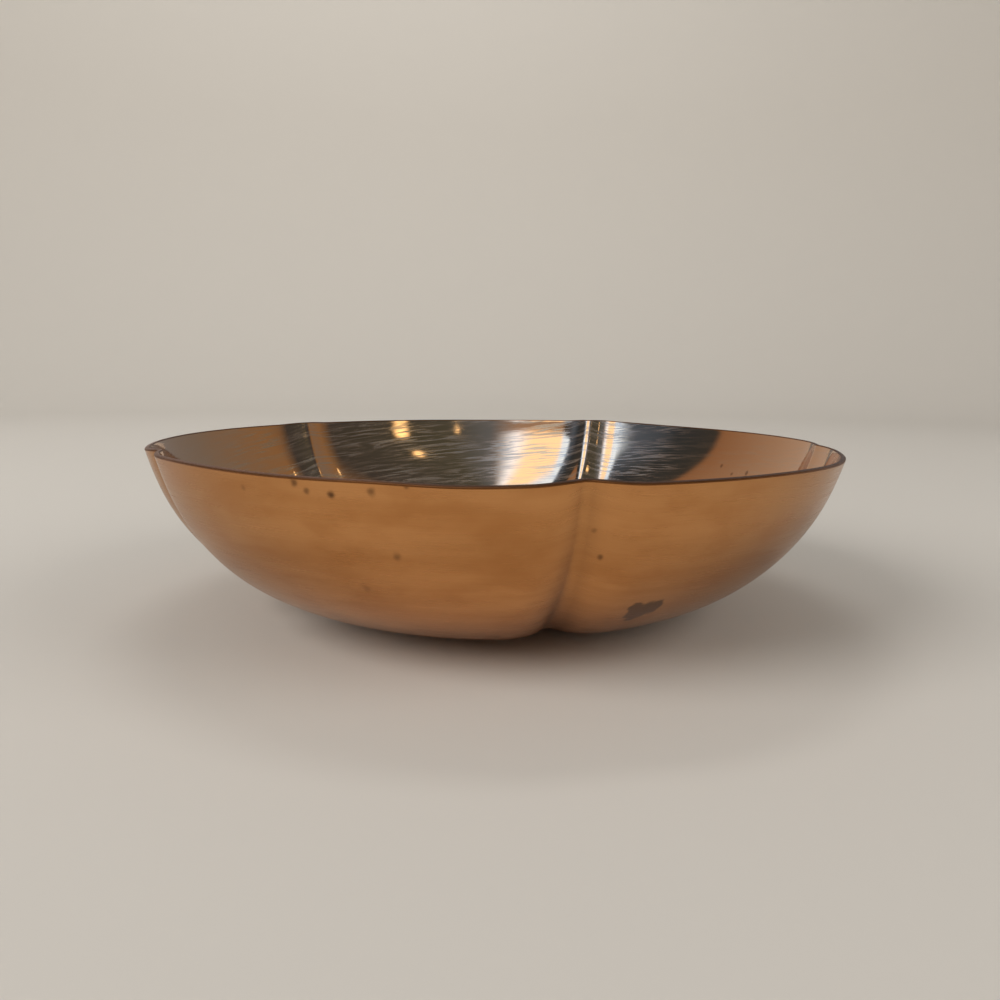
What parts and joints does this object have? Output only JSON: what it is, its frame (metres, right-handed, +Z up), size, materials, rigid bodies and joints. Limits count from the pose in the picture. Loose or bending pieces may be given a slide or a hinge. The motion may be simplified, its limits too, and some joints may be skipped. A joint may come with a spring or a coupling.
{
  "type": "offering bowl",
  "caption": "Open copper offering bowl with rounded lobes parted by creases, a plain sheet rim and a low soldered foot ring; holds offerings on a table or altar.",
  "frame": {"origin": "on the bowl's axis, at the level of the surface that the foot ring stands on", "axes": "+Z up along the bowl's axis, -Y through one of the creases between the lobes, towards the front"},
  "size_m": [0.164, 0.1634, 0.04],
  "materials": {
    "copper_sheet": "copper, satin outside and polished inside, tarnished",
    "copper_strip": "copper, satin, tarnished",
    "silver_solder": "hard solder, dull"
  },
  "bodies": {
    "root": {"bowl_shell": "copper_sheet", "foot_ring": "copper_strip", "foot_solder": "silver_solder"}
  },
  "joints": []
}
